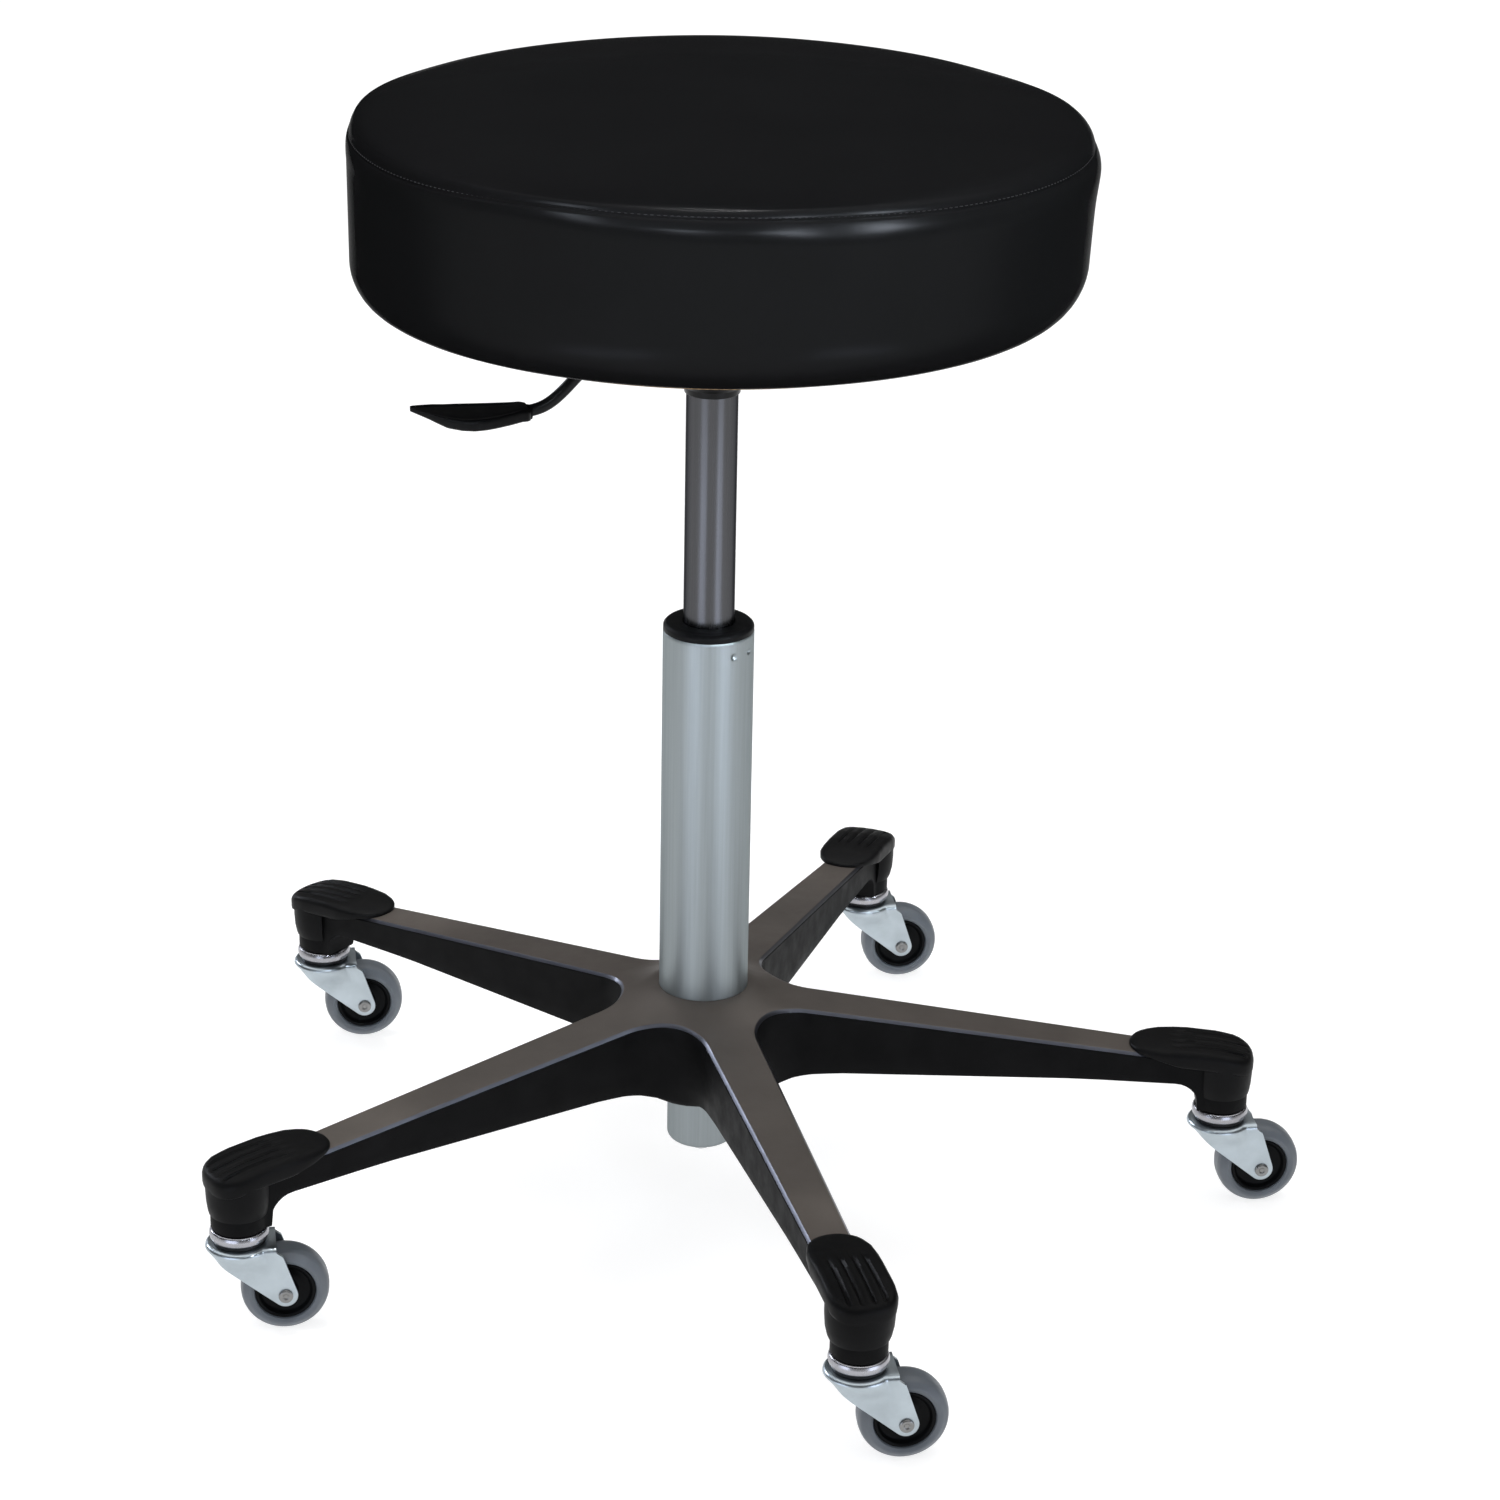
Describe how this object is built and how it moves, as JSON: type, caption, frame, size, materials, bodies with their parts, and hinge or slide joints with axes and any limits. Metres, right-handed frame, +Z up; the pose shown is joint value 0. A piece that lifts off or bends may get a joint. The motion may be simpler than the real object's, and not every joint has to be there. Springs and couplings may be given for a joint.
{
  "type": "adjustable swivel stool",
  "caption": "Low swivel work stool: round padded seat on a gas lift with a side release lever, over a star base with toe caps and swivel casters.",
  "frame": {"origin": "on the floor, under the column's axis", "axes": "+Z up along the column; +X is to the right and -Y is towards the viewer in the stool's front view; the lever points 10 degrees off -X; one arm points 16 degrees off -Y"},
  "size_m": [0.6074, 0.6002, 0.633],
  "materials": {
    "base_metal": "dark satin metallic paint, bare polished edges",
    "stand_metal": "satin",
    "dark_chrome": "dark polished",
    "race_chrome": "polished",
    "zinc": "bright zinc plate",
    "rivet_steel": "satin",
    "steel": "turned",
    "bearing_steel": "ground and polished",
    "black_steel": "black oxide",
    "brass": "turned",
    "black_paint": "satin black",
    "black_plastic": "satin moulded",
    "core_nylon": "satin moulded",
    "tread_rubber": "grey, smooth",
    "seal_rubber": "matt",
    "plywood": "raw",
    "foam": "open-cell foam",
    "black_vinyl": "fine-grained black vinyl",
    "dust_cloth": "thin non-woven"
  },
  "bodies": {
    "base": {"star_base": "base_metal", "stand_tube": "stand_metal", "tube_bushing": "black_plastic", "lower_race": "steel", "caster_balls": "bearing_steel", "toe_cap_1": "black_plastic", "toe_cap_2": "black_plastic", "toe_cap_3": "black_plastic", "toe_cap_4": "black_plastic", "toe_cap_5": "black_plastic", "caster_stem_1": "race_chrome", "caster_stem_2": "race_chrome", "caster_stem_3": "race_chrome", "caster_stem_4": "race_chrome", "caster_stem_5": "race_chrome"},
    "rod": {"piston_rod": "bearing_steel", "piston": "steel", "piston_seal": "seal_rubber", "upper_race": "steel", "thrust_balls": "bearing_steel", "retaining_clip": "steel", "bumper": "seal_rubber"},
    "column": {"gas_tube": "dark_chrome", "rod_guide": "steel", "valve_body": "steel", "taper_socket": "black_paint", "mechanism_box": "black_paint", "seat_plate": "black_paint", "seat_bolts": "black_steel", "seat_washers": "zinc", "tee_nuts": "zinc", "seat_board": "plywood", "seat_foam": "foam", "seat_cover": "black_vinyl", "dust_cover": "dust_cloth", "staples": "zinc", "pivot_pin": "steel"},
    "lever": {"lever_rod": "black_paint", "lever_paddle": "black_plastic"},
    "pin": {"valve_pin": "brass"},
    "fork_1": {"caster_fork_1": "zinc", "caster_axle_1": "rivet_steel"},
    "wheel_1": {"wheel_core_1": "core_nylon", "wheel_tread_1": "tread_rubber"},
    "fork_2": {"caster_fork_2": "zinc", "caster_axle_2": "rivet_steel"},
    "wheel_2": {"wheel_core_2": "core_nylon", "wheel_tread_2": "tread_rubber"},
    "fork_3": {"caster_fork_3": "zinc", "caster_axle_3": "rivet_steel"},
    "wheel_3": {"wheel_core_3": "core_nylon", "wheel_tread_3": "tread_rubber"},
    "fork_4": {"caster_fork_4": "zinc", "caster_axle_4": "rivet_steel"},
    "wheel_4": {"wheel_core_4": "core_nylon", "wheel_tread_4": "tread_rubber"},
    "fork_5": {"caster_fork_5": "zinc", "caster_axle_5": "rivet_steel"},
    "wheel_5": {"wheel_core_5": "core_nylon", "wheel_tread_5": "tread_rubber"}
  },
  "joints": [
    {"name": "seat_swivel", "type": "hinge", "parent": "base", "child": "rod", "pos_m": [0, 0, 0.0365], "axis": [0, 0, 1], "continuous": true},
    {"name": "seat_lift", "type": "slide", "parent": "rod", "child": "column", "axis": [0, 0, 1], "range_m": [-0.125, 0]},
    {"name": "lever_tilt", "type": "hinge", "parent": "column", "child": "lever", "pos_m": [-0.02757, -0.00486, 0.51375], "axis": [-0.1736, 0.9848, 0], "range_deg": [0, 6], "stiffness_Nm_per_rad": 0.5},
    {"name": "valve_press", "type": "slide", "parent": "column", "child": "pin", "axis": [0, 0, -1], "range_m": [0, 0.003]},
    {"name": "caster_swivel_1", "type": "hinge", "parent": "base", "child": "fork_1", "pos_m": [0.08159, -0.28453, 0.055], "axis": [0, 0, 1], "continuous": true},
    {"name": "wheel_spin_1", "type": "hinge", "parent": "fork_1", "child": "wheel_1", "pos_m": [0.10486, -0.28126, 0.02375], "axis": [-0.1392, 0.9903, 0], "continuous": true},
    {"name": "caster_swivel_2", "type": "hinge", "parent": "base", "child": "fork_2", "pos_m": [0.29582, -0.01033, 0.055], "axis": [0, 0, 1], "continuous": true},
    {"name": "wheel_spin_2", "type": "hinge", "parent": "fork_2", "child": "wheel_2", "pos_m": [0.31909, -0.00706, 0.02375], "axis": [-0.1392, 0.9903, 0], "continuous": true},
    {"name": "caster_swivel_3", "type": "hinge", "parent": "base", "child": "fork_3", "pos_m": [0.10124, 0.27815, 0.055], "axis": [0, 0, 1], "continuous": true},
    {"name": "wheel_spin_3", "type": "hinge", "parent": "fork_3", "child": "wheel_3", "pos_m": [0.12451, 0.28142, 0.02375], "axis": [-0.1392, 0.9903, 0], "continuous": true},
    {"name": "caster_swivel_4", "type": "hinge", "parent": "base", "child": "fork_4", "pos_m": [-0.23325, 0.18224, 0.055], "axis": [0, 0, 1], "continuous": true},
    {"name": "wheel_spin_4", "type": "hinge", "parent": "fork_4", "child": "wheel_4", "pos_m": [-0.20998, 0.18551, 0.02375], "axis": [-0.1392, 0.9903, 0], "continuous": true},
    {"name": "caster_swivel_5", "type": "hinge", "parent": "base", "child": "fork_5", "pos_m": [-0.2454, -0.16552, 0.055], "axis": [0, 0, 1], "continuous": true},
    {"name": "wheel_spin_5", "type": "hinge", "parent": "fork_5", "child": "wheel_5", "pos_m": [-0.22212, -0.16225, 0.02375], "axis": [-0.1392, 0.9903, 0], "continuous": true}
  ],
  "couplings": [
    {"joint": "valve_press", "follows": "lever_tilt", "m_per_rad": 0.028}
  ]
}
